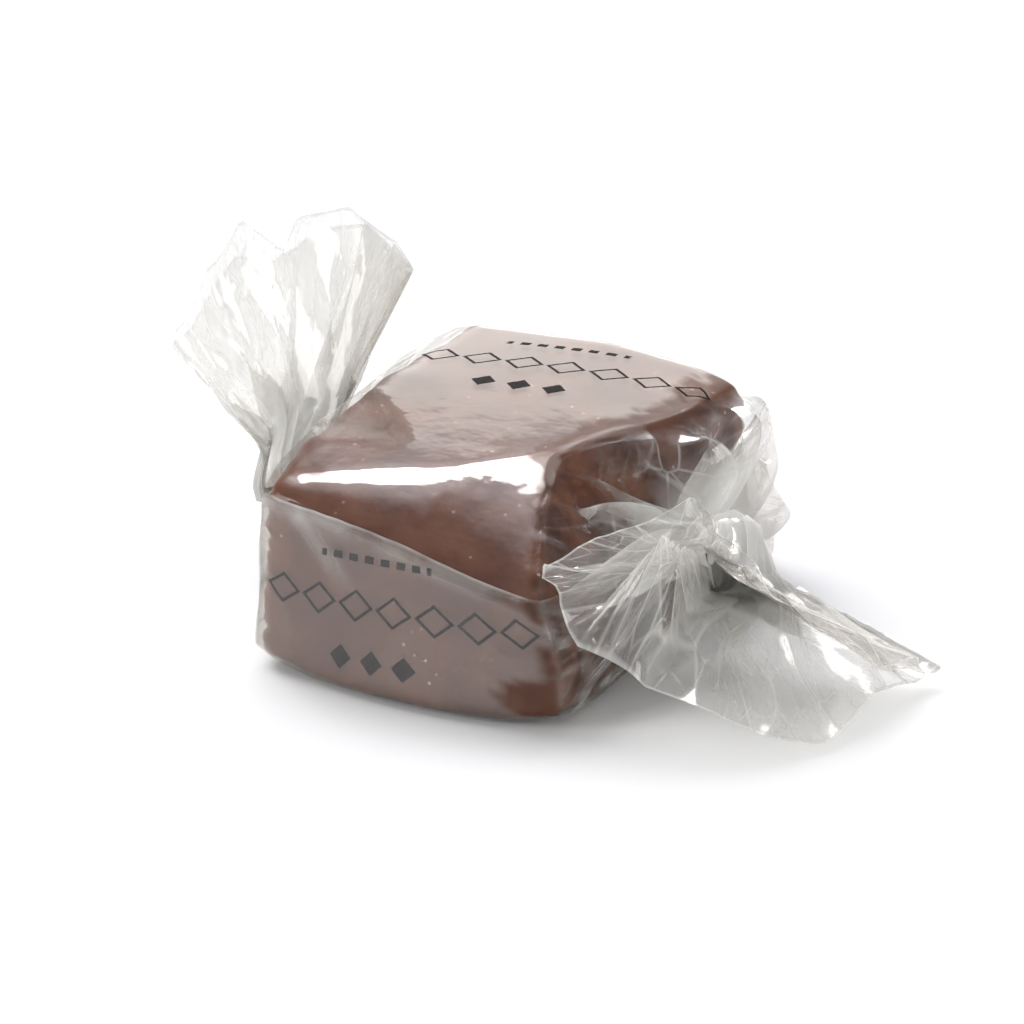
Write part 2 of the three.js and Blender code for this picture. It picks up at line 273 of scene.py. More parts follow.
# How the block slumps: it spreads below, its faces swell, its top corners droop, its bottom corners
# curl up, its right end leans in at the top, and the top right corner in front is pressed in.
SLUMP = 0.024
TOP_SWELL = 0.45
FRONT_BULGE = 2.0
BACK_BULGE = 1.1
LEFT_BULGE = 0.9
RIGHT_BULGE = 0.1
CORNER_DROOP = 1.0
LEFT_BACK_DROOP = 0.3
CORNER_LIFT = 0.8
LIFT_FROM = 0.55
RIGHT_END_LEAN = 0.8
CORNER_PRESS = 6.6
PRESS_BACK_SHARE = 0.62
PRESS_FRONT_SHARE = 0.32

# Dents, as waves for each mm and depths in mm. The knife's drag shows near the two ends.
BROAD_DENT_WAVES = 0.16
BROAD_DENT_DEPTH = 0.22
FINE_DENT_WAVES = 0.7
FINE_DENT_DEPTH = 0.035
FINE_DENT_START = Vector((9, 0, 0))
DRAG_WAVES = np.array((0.3, 0.35, 0.9))
DRAG_DEPTH = 0.5
DRAG_REACH = 2.2
DENT_SINK = 0.12
UNDERSIDE_PLAY = 0.05
CUT_END_FROM = 1.4
CUT_END_TO = 0.3

# Colours, and how many clouds, wrinkles, tears and grains lie in a metre.
CARAMEL_BROWN = (0.115, 0.038, 0.021, 1)
CARAMEL_WARM = (0.19, 0.074, 0.042, 1)
# The darkest brown is painted shade, laid in the torn pits of the cut ends.
CARAMEL_PIT_SHADE = (0.035, 0.0095, 0.005, 1)
CARAMEL_RUSTY = (0.27, 0.100, 0.045, 1)
SALT = (0.75, 0.71, 0.67, 1)
CLOUDS = 190
WRINKLES = 620
TEARS = 330
GRAINS = 900
PIT_DEPTH = 0.3 * MM

half_length = BLOCK_LENGTH / 2
half_depth = BLOCK_DEPTH / 2
block_top = BLOCK_UNDERSIDE + BLOCK_HEIGHT


def smooth_step(value, low=0.0, high=1.0):
    """0 at low, 1 at high, with a soft start and end."""
    t = np.clip((value - low) / (high - low), 0, 1)
    return t * t * (3 - 2 * t)


def slumped(points):
    """Points in mm on the fresh block, moved to where they are on the slumped one."""
    along = np.clip(points[..., 0] / half_length, -1, 1)
    back = np.clip(points[..., 1] / half_depth, -1, 1)
    height = (points[..., 2] - BLOCK_UNDERSIDE) / BLOCK_HEIGHT
    above = np.maximum(height, 0)
    spread = 1 + SLUMP * (0.5 - height)
    toward_front = smooth_step(
        -points[..., 1], -PRESS_BACK_SHARE * half_depth, PRESS_FRONT_SHARE * half_depth)
    lean = RIGHT_END_LEAN * height + CORNER_PRESS * toward_front * above ** 3
    end_bulge = np.where(along < 0, LEFT_BULGE, RIGHT_BULGE) * (1 - back ** 2)
    side_bulge = np.where(back < 0, FRONT_BULGE * (1 - height), BACK_BULGE) * (1 - along ** 2)
    left_back = np.maximum(-along, 0) * np.maximum(back, 0)
    droop = (CORNER_DROOP + (LEFT_BACK_DROOP - CORNER_DROOP) * left_back) * along ** 2 * back ** 2
    lift = CORNER_LIFT * smooth_step(abs(along), LIFT_FROM, 1) * smooth_step(abs(back), LIFT_FROM, 1)
    moved = points.copy()
    moved[..., 0] = points[..., 0] * spread - lean * np.maximum(along, 0) + end_bulge * along
    moved[..., 1] = points[..., 1] * spread + side_bulge * back
    moved[..., 2] += TOP_SWELL * (1 - back ** 2) * (1 - along ** 2) ** 0.5 * above ** 2
    moved[..., 2] += lift * (1 - above) ** 2 - droop * above ** 2
    return moved


def mesh_points(mesh):
    """The places of a mesh's vertices, in mm."""
    places = np.zeros(len(mesh.vertices) * 3)
    mesh.vertices.foreach_get("co", places)
    return places.reshape(-1, 3) / MM


def set_mesh_points(mesh, points):
    """Moves a mesh's vertices to points in mm."""
    mesh.vertices.foreach_set("co", (points * MM).astype(np.float32).ravel())
    mesh.update()


def mark_points(mesh, name, values):
    """Keeps a number for each vertex, for the finish to read."""
    attribute = mesh.attributes.new(name, "FLOAT", "POINT")
    attribute.data.foreach_set("value", values.astype(np.float32))


def uneven_noise(finish, place, scale, detail=3.0, roughness=0.5):
    """Cloudy unevenness from 0 to 1, with so many clouds in a metre."""
    inputs = {"Vector": place, "Scale": scale, "Detail": detail, "Roughness": roughness}
    return finish.node("ShaderNodeTexNoise", None, inputs).out(0)


bpy.ops.object.select_all(action="DESELECT")
bpy.ops.mesh.primitive_cube_add(size=1, location=(0, 0, (BLOCK_UNDERSIDE + BLOCK_HEIGHT / 2) * MM))
caramel = bpy.context.object
caramel.name = "caramel_block"
caramel.scale = (BLOCK_LENGTH * MM, BLOCK_DEPTH * MM, BLOCK_HEIGHT * MM)
bpy.ops.object.transform_apply(location=True, rotation=False, scale=True)

bpy.ops.object.mode_set(mode="EDIT")
bpy.ops.mesh.select_all(action="SELECT")
bpy.ops.mesh.bevel(offset=EDGE_ROUNDING * MM, segments=EDGE_SEGMENTS, affect="EDGES", profile=0.5)
for cut in range(SLOPE_CUTS):
    share = cut / (SLOPE_CUTS - 1)
    tilt = SLOPE_CREASE + (SLOPE_STEEPEST - SLOPE_CREASE) * share
    drop = (math.tan(SLOPE_CREASE) + math.tan(tilt)) / 2 * share
    left, right = (
        Vector((end * half_length, slope * (1 - share) - half_depth, block_top - drop * slope))
        for end, slope in ((-1, SLOPE_LEFT), (1, SLOPE_RIGHT)))
    downhill = Vector((0, -math.cos(tilt), -math.sin(tilt)))
    bpy.ops.mesh.select_all(action="SELECT")
    bpy.ops.mesh.bisect(
        plane_co=left * MM, plane_no=downhill.cross(right - left).normalized(),
        use_fill=True, clear_outer=True, threshold=SAME_POINT)
bpy.ops.object.mode_set(mode="OBJECT")
caramel.data.remesh_voxel_size = CARAMEL_VOXEL * MM
bpy.ops.object.voxel_remesh()
soften = caramel.modifiers.new("soften", "SMOOTH")
soften.factor = SOFTENING
soften.iterations = SOFTENING_ROUNDS
bpy.ops.object.modifier_apply(modifier=soften.name)

# The film is wound round the fresh block, and then slumps with it.
fresh_block = BVHTree.FromObject(caramel, bpy.context.evaluated_depsgraph_get())


def dented(points, normals):
    """The cut block's small bumps and dents: broad on the faces, sharper at the cut ends."""
    moved = points.copy()
    for i, (point, normal) in enumerate(zip(points, normals)):
        broad = noise.noise(Vector(point) * BROAD_DENT_WAVES) * BROAD_DENT_DEPTH
        fine = noise.noise(Vector(point) * FINE_DENT_WAVES + FINE_DENT_START) * FINE_DENT_DEPTH
        near_end = max(0.0, abs(point[0]) - half_length + DRAG_REACH) / DRAG_REACH
        drag = near_end * DRAG_DEPTH * noise.noise(Vector(point * DRAG_WAVES))
        moved[i] += normal * (broad + fine + drag - DENT_SINK)
    moved[:, 2] = np.maximum(moved[:, 2], BLOCK_UNDERSIDE - UNDERSIDE_PLAY)
    return moved


fresh_points = mesh_points(caramel.data)
block_normals = np.array([vertex.normal for vertex in caramel.data.vertices])
set_mesh_points(caramel.data, slumped(dented(fresh_points, block_normals)))
at_end = smooth_step(abs(fresh_points[:, 0]), half_length - CUT_END_FROM, half_length - CUT_END_TO)
mark_points(caramel.data, "cut_end", at_end)
bpy.ops.object.shade_smooth()
settled_block = BVHTree.FromObject(caramel, bpy.context.evaluated_depsgraph_get())

# The caramel is cloudy brown with grains of salt. Its cut ends are torn and rusty where the knife
# smeared them, and painted shade darkens the deepest tears, which the bump sinks as pits.
brown_caramel = Finish(bpy.data.materials.new("caramel"))
block_place = brown_caramel.node("ShaderNodeTexCoord").out("Object")
clouds = uneven_noise(brown_caramel, block_place, CLOUDS, 4, 0.55)
wrinkles = uneven_noise(brown_caramel, block_place, WRINKLES, 3, 0.6)
tears = uneven_noise(brown_caramel, block_place, TEARS, 5, 0.62)
torn = brown_caramel.node("ShaderNodeAttribute", {"attribute_name": "cut_end"}).out("Fac")
grains = brown_caramel.node("ShaderNodeTexVoronoi", None, {
    "Vector": block_place, "Scale": GRAINS}).out("Distance")
salted = grains.below(0.13, 0.05) * clouds.above(0.58, 0.05)
brown = CARAMEL_BROWN
for share, colour in (
        (clouds.above(0.52, 0.16), CARAMEL_WARM),
        (tears.above(0.55, 0.07) * torn * 0.55, CARAMEL_PIT_SHADE),
        (tears.below(0.42, 0.07) * torn * 0.4, CARAMEL_RUSTY),
        (salted * 0.6, SALT)):
    brown = brown_caramel.mix_colour(share, brown, colour)
pits = brown_caramel.node("ShaderNodeBump", None, {
    "Strength": 0.5,
    "Distance": PIT_DEPTH,
    "Height": clouds * 0.7 + wrinkles * 0.3 - tears * torn * 1.5,
}).out(0)
brown_caramel.cover(caramel, brown_caramel.node("ShaderNodeBsdfPrincipled", None, {
    "Base Color": brown,
    "Roughness": 0.27 + clouds * 0.14,
    "Normal": pits,
    "Specular IOR Level": 0.3,
}).out(0))
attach(caramel, "root")
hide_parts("caramel")

# Clear film
# One cut sheet of clear cellulose film with a plain print. It is wound tight round the block with a
# lap on the front, gathered in pleats over each end, twisted into a neck, and spreads past the neck
# in a loose fan. Millimetres.
SHEET_WIDTH = 127.0
FILM_THICKNESS = 0.045
FILM_CLEARANCE = 0.1
LAP_RISE = 0.12
LAP_DOWN_FROM = 0.95
LAP_DOWN_TO = 0.7
LAP_HEIGHT_LEFT = 16.1
LAP_HEIGHT_RIGHT = 10.8
FLOOR_CLEARANCE = 0.03
CREASE_ANGLE = math.radians(32)

# The rings that the film is made of, from the left fan to the right one, and the points on them. A
# direction is measured over a stride of points to each side.
BODY_ROWS = 25
TENT_ROWS = 20
NECK_ROWS = 14
FAN_ROWS = 38
RING_SAMPLES = 720
SECTION_RAYS = 240
RING_STRIDE = 4
ENVELOPE_STRIDE = 3

# Each gathered end leaves the block at the rim, rounds a shoulder and is drawn in to the neck. Towards
# the back it is full: it is drawn in late there, and puffs out.
RIM = 12.9
SHOULDER = 1.0
SHOULDER_SHARE = 0.1
SHOULDER_ROUNDING = 0.15
SHOULDER_DRAW = 0.015
TAUT_DRAW = 1.4
TAUT_REACH = 1.3
FULL_DRAW = 2.2
FULL_REACH = 0.8
FULLNESS = {1: 0.8, -1: 0.3}
FULL_FROM = -0.3
FULL_TO = 0.6
END_PUFF = 2.2
PUFF_SHAPE = 0.6

# The twisted neck, with turns in radians.
NECK_LENGTH = 2.9
NECK_RADIUS = 1.9
NECK_WAIST = 0.35
NECK_FLARE = 1.3
NECK_BEND_FROM = 0.3
TENT_TURN = 0.35
NECK_TURN = 3.4

# Each fan is a flattened cone. heading and face set its plane. The upper and the lower layer have tips
# along their free edge, as (angle in degrees, length, height above the plane). A peak is a sharp fold
# in the lower layer, as (angle, half width in degrees, height). pleat is the depth of its folds.
FAN_ROOT = 1.2
FAN_OPENS_BY = 0.3
FAN_TUBE_FLARE = 2
PEAK_PLACE = 0.8
NO_PEAK = (0, 10, 0)
FANS = {
    1: {
        "tent_end": 16.2,
        "neck_height": 8.9,
        "heading": (0.76, -0.62, -0.04),
        "face": (0.2, 0.22, 0.95),
        "upper": [
            (-75.9, 18.9, -0.9), (-63.9, 16.4, 4.4), (-53.7, 10.8, 7.6), (-18.2, 16.1, 4.2),
            (-0.6, 16.4, 2.6), (17.7, 16.4, 0.6), (26, 17.2, -1.2), (52, 19.5, -2.6)],
        "lower": [
            (-75.9, 18.9, -0.9), (-57.3, 21, -4.2), (-35.4, 18.6, -5.4), (-9.6, 19.3, -6.5),
            (6.4, 19.5, -6.6), (27.8, 17.8, -3.2), (52, 19.5, -2.6)],
        "peak": (-51, 11, 9.5),
        "pleat": 0.3,
    },
    -1: {
        "tent_end": 16.7,
        "neck_height": 7.0,
        "heading": (-0.352, 0.479, 0.796),
        "face": (0.2425, 0.866, -0.414),
        "upper": [
            (-41.3, 19.8, 0.6), (-28.5, 20.8, 1.6), (-17.9, 23, 2.8), (-10, 20.8, 3.4),
            (4.4, 22.3, 3.4), (19.7, 22.5, 2.6), (40.3, 20.6, 0.6)],
        "lower": [
            (-41.3, 19.8, 0.6), (-23.4, 20.6, -0.8), (-6.9, 23.6, -2), (5.4, 19.7, -2.4),
            (9.5, 22.4, -2.4), (23.2, 23.7, -1.8), (34.6, 22.1, -0.6), (40.3, 20.6, 0.6)],
        "peak": NO_PEAK,
        "pleat": 0.12,
    },
}

# Pleats: how many columns of the sheet each takes, how far they overlap, in loops round the ring, and
# how far they stand off it. Crumples are flat facets, as (size, depth, seed), whose creases wander by a
# share of their size, and looseness is how much the film is crumpled.
PLEAT_COLUMNS = [20, 16, 24, 12, 18, 22, 14, 20, 16, 24, 12, 18, 22, 14, 18]
NECK_OVERLAP = 6.2
FAN_OVERLAP = 0.1
TENT_PLEAT_DEPTH = 1.3
TENT_PLEAT_END = 0.35
NECK_PLEAT_DEPTH = 0.65
OVERLAP_SPREAD = (0.6, 1.4)
DEPTH_SPREAD = (0.3, 1.6)
PLEAT_SEED = 7
CRUMPLES = [(7.0, 0.8, 3), (3.1, 0.28, 5)]
CRUMPLE_WANDER = 0.35
CRUMPLE_TABLE = 64
TENT_LOOSENESS = 0.5
NECK_LOOSENESS = 0.2

# The film sticks to the caramel where it lies close, in patches, as (middle, size), and in a band at the
# right end, which starts further along the block in front than behind. The edges are ragged, by a
# coarse and a fine noise with so many waves for each mm.
STUCK_PATCHES = [
    ((12.2, -19.5, 2.6), (4.4, 4.0, 1.5)),
    ((-13.0, -17.5, 16.0), (1.6, 2.2, 1.2)),
    ((-11.0, -15.0, 16.8), (2.2, 1.2, 1.0)),
]
STUCK_FROM_FRONT = 12.2
STUCK_FROM_BACK = 9.6
STUCK_FRONT_EDGE = -6
STUCK_BAND_EDGE = 0.6
STUCK_WITHIN = 0.7
LOOSE_BEYOND = 2.6
RAGGED_WAVES = 0.45
FINE_RAGGED_WAVES = 1.3
PATCH_RAGGED_BY = 0.45
BAND_RAGGED_BY = 1.8
CLOSE_RAGGED_BY = 1.2

# How strong each mark of the sheet is at its left end and at its right one. The left end is smoother,
# and its fan is hazier.
END_STRENGTHS = {
    "bunched": (0.3, 1.0),
    "creased": (0.4, 1.0),
    "loose": (0.5, 1.0),
    "open_film": (2.6, 1.5),
}

columns = sum(PLEAT_COLUMNS)
around = np.arange(RING_SAMPLES) / RING_SAMPLES
end_count = TENT_ROWS + NECK_ROWS + FAN_ROWS


def convex_hull(points):
    """The corners of the tightest loop round points, anticlockwise."""
    ordered = sorted(map(tuple, points))

    def half(run):
        kept = []
        for point in run:
            while len(kept) > 1:
                (ax, ay), (bx, by) = kept[-2], kept[-1]
                if (bx - ax) * (point[1] - ay) - (by - ay) * (point[0] - ax) > 0:
                    break
                kept.pop()
            kept.append(point)
        return kept[:-1]

    return np.array(half(ordered) + half(reversed(ordered)))


def wound_ring(x):
    """Film pulled tight round the block at x: points from the lap down, length, and the lap's height."""
    middle = Vector((x, 0, BLOCK_UNDERSIDE + BLOCK_HEIGHT / 2))
    hits = []
    for ray in range(SECTION_RAYS):
        angle = 2 * math.pi * ray / SECTION_RAYS
        hit = fresh_block.ray_cast(middle * MM, Vector((0, math.cos(angle), math.sin(angle))))[0]
        hits.append((hit.y / MM, hit.z / MM))
    hull = convex_hull(hits)
    closed = np.vstack([hull, hull[:1]])
    steps = np.linalg.norm(np.diff(closed, axis=0), axis=1)
    arc = np.concatenate([[0], np.cumsum(steps)])
    share = np.clip((x + half_length) / BLOCK_LENGTH, 0, 1)
    lap_height = LAP_HEIGHT_LEFT + (LAP_HEIGHT_RIGHT - LAP_HEIGHT_LEFT) * share
    heights = closed[:, 1]
    at_lap = next(
        i for i in range(len(hull)) if closed[i, 0] < 0 and heights[i] >= lap_height > heights[i + 1])
    part = (heights[at_lap] - lap_height) / (heights[at_lap] - heights[at_lap + 1])
    start = arc[at_lap] + part * steps[at_lap]
    places = (start + around * arc[-1]) % arc[-1]
    ring = np.stack([np.interp(places, arc, closed[:, axis]) for axis in (0, 1)], axis=1)
    along = np.roll(ring, -RING_STRIDE, axis=0) - np.roll(ring, RING_STRIDE, axis=0)
    along /= np.linalg.norm(along, axis=1)[:, None]
    ring += FILM_CLEARANCE * np.stack([along[:, 1], -along[:, 0]], axis=1)
    points = np.column_stack([np.full(RING_SAMPLES, x), ring])
    return slumped(points), arc[-1], lap_height


def fan_edge(tips, angles):
    """Length and rise of a fan at each angle, with straight edges between its tips."""
    reach = np.full(angles.shape, float(tips[-1][1]))
    for (a0, r0, _), (a1, r1, _) in zip(tips, tips[1:]):
        past, left = np.radians(angles - a0), np.radians(a1 - angles)
        edge = r0 * r1 * math.sin(math.radians(a1 - a0)) / (r0 * np.sin(past) + r1 * np.sin(left))
        reach = np.where((angles >= a0) & (angles < a1), edge, reach)
    return reach, np.interp(angles, [tip[0] for tip in tips], [tip[2] for tip in tips])


def fan_ways(side):
    """A fan's directions: out along its middle, across it, and up from its plane."""
    heading = np.array(Vector(FANS[side]["heading"]).normalized())
    across = np.cross(np.array(Vector(FANS[side]["face"]).normalized()), heading)
    across /= np.linalg.norm(across)
    return heading, across, np.cross(heading, across)


def bent_ways(side):
    """The Y and Z directions, carried along when the X axis bends to a fan's heading."""
    heading, _, _ = fan_ways(side)
    bend = Vector((side, 0, 0)).rotation_difference(Vector(heading))
    return np.array(bend @ Vector((0, 1, 0))), np.array(bend @ Vector((0, 0, 1)))


def spokes(side, turn):
    """Cosine and sine for each point of a ring that is twisted by a turn."""
    angle = math.pi - side * turn + 2 * math.pi * around
    return np.cos(angle), np.sin(angle)


def tent_rows(side, rim):
    """Rings of the gathered end, from the block's rim to the neck, without pleats."""
    tent_end, height = FANS[side]["tent_end"], FANS[side]["neck_height"]
    full = FULLNESS[side] * smooth_step(rim[:, 1], FULL_FROM * half_depth, FULL_TO * half_depth)
    rows = []
    for step in range(1, TENT_ROWS + 1):
        s = step / TENT_ROWS
        past_shoulder = max(0.0, (s - SHOULDER_SHARE) / (1 - SHOULDER_SHARE))
        cos, sin = spokes(side, TENT_TURN * s * s)
        neck = np.stack([cos * NECK_RADIUS, height + sin * NECK_RADIUS], axis=1)
        drawn_in = (1 - (1 - past_shoulder) ** TAUT_DRAW) * (1 - full) + past_shoulder ** FULL_DRAW * full
        inward = SHOULDER_DRAW * smooth_step(s, 0, SHOULDER_SHARE) + (1 - SHOULDER_DRAW) * drawn_in
        shoulder = rim[:, 0] + side * SHOULDER * smooth_step(s, 0, SHOULDER_ROUNDING)
        share = past_shoulder ** TAUT_REACH * (1 - full) + past_shoulder ** FULL_REACH * full
        reach = shoulder + (side * tent_end - shoulder) * share
        reach += side * END_PUFF * full * math.sin(math.pi * past_shoulder ** PUFF_SHAPE)
        rows.append(np.column_stack([reach, rim[:, 1:] + (neck - rim[:, 1:]) * inward[:, None]]))
    return rows


def neck_rows(side):
    """Rings of the twisted neck, which bends to the fan's heading."""
    tent_end, height = FANS[side]["tent_end"], FANS[side]["neck_height"]
    bent_y, bent_z = bent_ways(side)
    rows = []
    for step in range(1, NECK_ROWS + 1):
        s = step / NECK_ROWS
        cos, sin = spokes(side, TENT_TURN + (NECK_TURN - TENT_TURN) * s)
        radius = NECK_RADIUS + NECK_FLARE * s * s - NECK_WAIST * math.sin(math.pi * s)
        bend = smooth_step(s, NECK_BEND_FROM, 1.0)
        y_way = np.array([0, 1, 0]) * (1 - bend) + bent_y * bend
        z_way = np.array([0, 0, 1]) * (1 - bend) + bent_z * bend
        centre = np.array([side * (tent_end + NECK_LENGTH * s), 0, height])
        rows.append(centre + radius * (np.outer(cos, y_way) + np.outer(sin, z_way)))
    return rows


def fan_rows(side):
    """Rings of the loose fan, whose upper and lower layers meet at its two sides, without pleats."""
    fan = FANS[side]
    heading, across, face = fan_ways(side)
    bent_y, bent_z = bent_ways(side)
    root = np.array([side * (fan["tent_end"] + NECK_LENGTH), 0, fan["neck_height"]])
    cos, sin = spokes(side, NECK_TURN)
    out = np.outer(cos, bent_y) + np.outer(sin, bent_z)
    wide, thick = out @ across, out @ face
    first, last = fan["upper"][0][0], fan["upper"][-1][0]
    angles = (first + last) / 2 + (last - first) / 2 * wide
    upper_reach, upper_rise = fan_edge(fan["upper"], angles)
    lower_reach, lower_rise = fan_edge(fan["lower"], angles)
    reach = np.where(thick > 0, upper_reach, lower_reach)
    rise = np.where(thick > 0, upper_rise, lower_rise)
    peak_angle, peak_width, peak_height = fan["peak"]
    peak = np.maximum(0, 1 - abs(angles - peak_angle) / peak_width) * peak_height * (thick <= 0)
    cos, sin = np.cos(np.radians(angles)), np.sin(np.radians(angles))
    rows = []
    for step in range(1, FAN_ROWS + 1):
        s = step / FAN_ROWS
        r = FAN_ROOT + (reach - FAN_ROOT) * s
        standing = rise * s + peak * min(s / PEAK_PLACE, (1 - s) / (1 - PEAK_PLACE))
        cone = root + np.outer(r * cos, heading) + np.outer(r * sin, across) + np.outer(standing, face)
        radius = NECK_RADIUS + NECK_FLARE + FAN_TUBE_FLARE * s
        tube = root + out * radius + heading * (reach.mean() * s)
        spread = smooth_step(s, 0.0, FAN_OPENS_BY)
        rows.append(tube * (1 - spread) + cone * spread)
    return rows


def end_rows(side, rim):
    """Rings of one end, from the block outwards."""
    return tent_rows(side, rim) + neck_rows(side) + fan_rows(side)


body_x = np.linspace(-RIM, RIM, BODY_ROWS)
body_rings, loop_lengths, lap_heights = zip(*(wound_ring(x) for x in body_x))
envelope = np.array(end_rows(-1, body_rings[0])[::-1] + list(body_rings) + end_rows(1, body_rings[-1]))
row_count = len(envelope)
row_numbers = np.arange(row_count)
from_fan_edge = np.minimum(row_numbers, row_numbers[::-1])
at_left = row_numbers < row_count // 2

step_round = np.roll(envelope, -ENVELOPE_STRIDE, axis=1) - np.roll(envelope, ENVELOPE_STRIDE, axis=1)
outward = np.cross(np.gradient(envelope, axis=0), step_round)
outward /= np.linalg.norm(outward, axis=2)[:, :, None] + 1e-9

# The sheet is wider than the loop round the block, by the share that laps over itself on the front.
draw = np.random.default_rng(PLEAT_SEED)
sheet_share = SHEET_WIDTH / float(np.mean(loop_lengths))
even = sheet_share * np.arange(columns + 1) / columns
pleat_marks = even[np.concatenate([[0], np.cumsum(PLEAT_COLUMNS)])]


def pleat_size(row, fan_pleat):
    """How far pleats overlap, stand off, are folded and lean over, in a row counted from the block."""
    if row < TENT_ROWS:
        s = (row + 1) / TENT_ROWS
        depth = TENT_PLEAT_DEPTH * math.sin(math.pi * min(1, s * 0.93)) + TENT_PLEAT_END * s
        return NECK_OVERLAP * s ** 2.2, depth, smooth_step(s, 0.05, 0.4), 0.25 + 0.75 * s
    if row < TENT_ROWS + NECK_ROWS:
        return NECK_OVERLAP, NECK_PLEAT_DEPTH, 1.0, 1.0
    s = (row - TENT_ROWS - NECK_ROWS + 1) / FAN_ROWS
    overlap = NECK_OVERLAP * (1 - smooth_step(s, 0.0, 0.75)) + FAN_OVERLAP
    depth = NECK_PLEAT_DEPTH + (fan_pleat - NECK_PLEAT_DEPTH) * smooth_step(s, 0.0, 0.6)
    return overlap, depth, 1.0, 1 - 0.8 * smooth_step(s, 0.05, 0.7)


def pleat_profile(side, marks):
    """For each row of one end: where the columns lie round the loop, and how far they stand off it."""
    count = len(PLEAT_COLUMNS)
    overlap_share = draw.uniform(*OVERLAP_SPREAD, count + 1)
    depth_share = draw.uniform(*DEPTH_SPREAD, count + 1)
    rows = []
    for row in range(end_count):
        overlap, depth, folded, knife = pleat_size(row, FANS[side]["pleat"])
        half_overlap = overlap * overlap_share / (2 * 2 * count)
        places, heights = [], []
        for k, wide in enumerate(PLEAT_COLUMNS):
            up = wide // 2
            inner = marks[k] - half_overlap[k]
            middle = (marks[k + 1] - marks[k]) * (0.5 + 0.5 * knife)
            peak = marks[k] + middle + half_overlap[k + 1] * knife
            after = marks[k + 1] - half_overlap[k + 1]
            places.extend(np.linspace(inner, peak, up, endpoint=False))
            places.extend(np.linspace(peak, after, wide - up, endpoint=False))
            high, low, low_after = depth_share[k], -depth_share[k], -depth_share[(k + 1) % count]
            heights.extend(np.linspace(low, high, up, endpoint=False))
            heights.extend(np.linspace(high, low_after, wide - up, endpoint=False))
        places.append(marks[-1])
        heights.append(-depth_share[0])
        rows.append((even * (1 - folded) + np.array(places) * folded, np.array(heights) * depth * folded))
    return rows


def crumple(along, across, cell, seed):
    """Flat facets with straight creases between them, from -1 to 1, over the flat sheet in mm."""
    table = np.random.default_rng(seed).uniform(-1, 1, (CRUMPLE_TABLE, CRUMPLE_TABLE))
    bend = CRUMPLE_WANDER * cell
    a = along + bend * np.sin(across / cell * 0.9 + seed)
    b = across + bend * np.sin(along / cell * 0.8 + 2 * seed)
    u, v = (a + 0.5 * b) / cell, 0.87 * b / cell
    iu, iv = np.floor(u).astype(int), np.floor(v).astype(int)
    fu, fv = u - iu, v - iv

    def corner(i, j):
        return table[(iu + i) % CRUMPLE_TABLE, (iv + j) % CRUMPLE_TABLE]

    lower = corner(0, 0) * (1 - fu - fv) + corner(1, 0) * fu + corner(0, 1) * fv
    upper = corner(1, 1) * (fu + fv - 1) + corner(1, 0) * (1 - fv) + corner(0, 1) * (1 - fu)
    return np.where(fu + fv < 1, lower, upper)


right_profile = pleat_profile(1, pleat_marks)
left_profile = pleat_profile(-1, pleat_marks)[::-1]
profile = left_profile + [(even, np.zeros(columns + 1))] * BODY_ROWS + right_profile

# Where each row and column lies on the flat sheet, and how much the film is crumpled in each row.
row_steps = np.linalg.norm(np.diff(envelope, axis=0), axis=2).mean(axis=1)
length_along = np.concatenate([[0], np.cumsum(row_steps)])
length_along -= length_along[row_count // 2]
lap_of_row = np.pad(lap_heights, end_count, mode="edge")
sheet_places = (np.arange(columns + 1) / columns) * SHEET_WIDTH
looseness = np.select(
    [from_fan_edge >= end_count, from_fan_edge >= NECK_ROWS + FAN_ROWS, from_fan_edge >= FAN_ROWS],
    [0.0, (end_count - from_fan_edge) / TENT_ROWS * TENT_LOOSENESS, NECK_LOOSENESS],
    NECK_LOOSENESS + (1 - NECK_LOOSENESS) * (1 - from_fan_edge / FAN_ROWS))

# The outer layer of the lap is raised, and comes down between two places that are given as shares of
# the loop, back from the sheet's inner edge.
lap = LAP_RISE * (1 - smooth_step(even, sheet_share - LAP_DOWN_FROM, sheet_share - LAP_DOWN_TO))
film_points = np.zeros((row_count, columns + 1, 3))
for row, (places, heights) in enumerate(profile):
    spot = (places % 1.0) * RING_SAMPLES
    low = np.floor(spot).astype(int) % RING_SAMPLES
    high = (low + 1) % RING_SAMPLES
    part = (spot - np.floor(spot))[:, None]
    base = envelope[row, low] * (1 - part) + envelope[row, high] * part
    way = outward[row, low] * (1 - part) + outward[row, high] * part
    crease = sum(
        crumple(length_along[row], sheet_places, cell, seed) * depth for cell, depth, seed in CRUMPLES)
    film_points[row] = base + way * (heights + lap + crease * looseness[row])[:, None]


def lifted_clear(points):
    """How much too close to the block each film point is, the way off the block, and how far off it is."""
    short = np.zeros(points.shape[:2])
    ways = np.zeros(points.shape)
    apart = np.full(points.shape[:2], 9.0)
    for row in range(FAN_ROWS, row_count - FAN_ROWS):
        for column in range(columns + 1):
            point = Vector(points[row, column]) * MM
            hit, normal, _, _ = settled_block.find_nearest(point)
            apart[row, column] = (point - hit).dot(normal) / MM
            short[row, column] = max(0.0, FILM_CLEARANCE - apart[row, column])
            ways[row, column] = normal
    return short, ways, apart


def spread_out(values, reach):
    """Each value raised to its neighbours' highest, then smoothed over the sheet."""
    offsets = [(down, over) for down in range(-reach, reach + 1) for over in range(-reach, reach + 1)]
    highest = np.max([np.roll(values, offset, axis=(0, 1)) for offset in offsets], axis=0)
    return np.mean([np.roll(highest, offset, axis=(0, 1)) for offset in offsets], axis=0)


short, ways, apart = lifted_clear(film_points)
film_points += ways * spread_out(short, 2)[:, :, None]
film_points[..., 2] = np.maximum(film_points[..., 2], FLOOR_CLEARANCE)

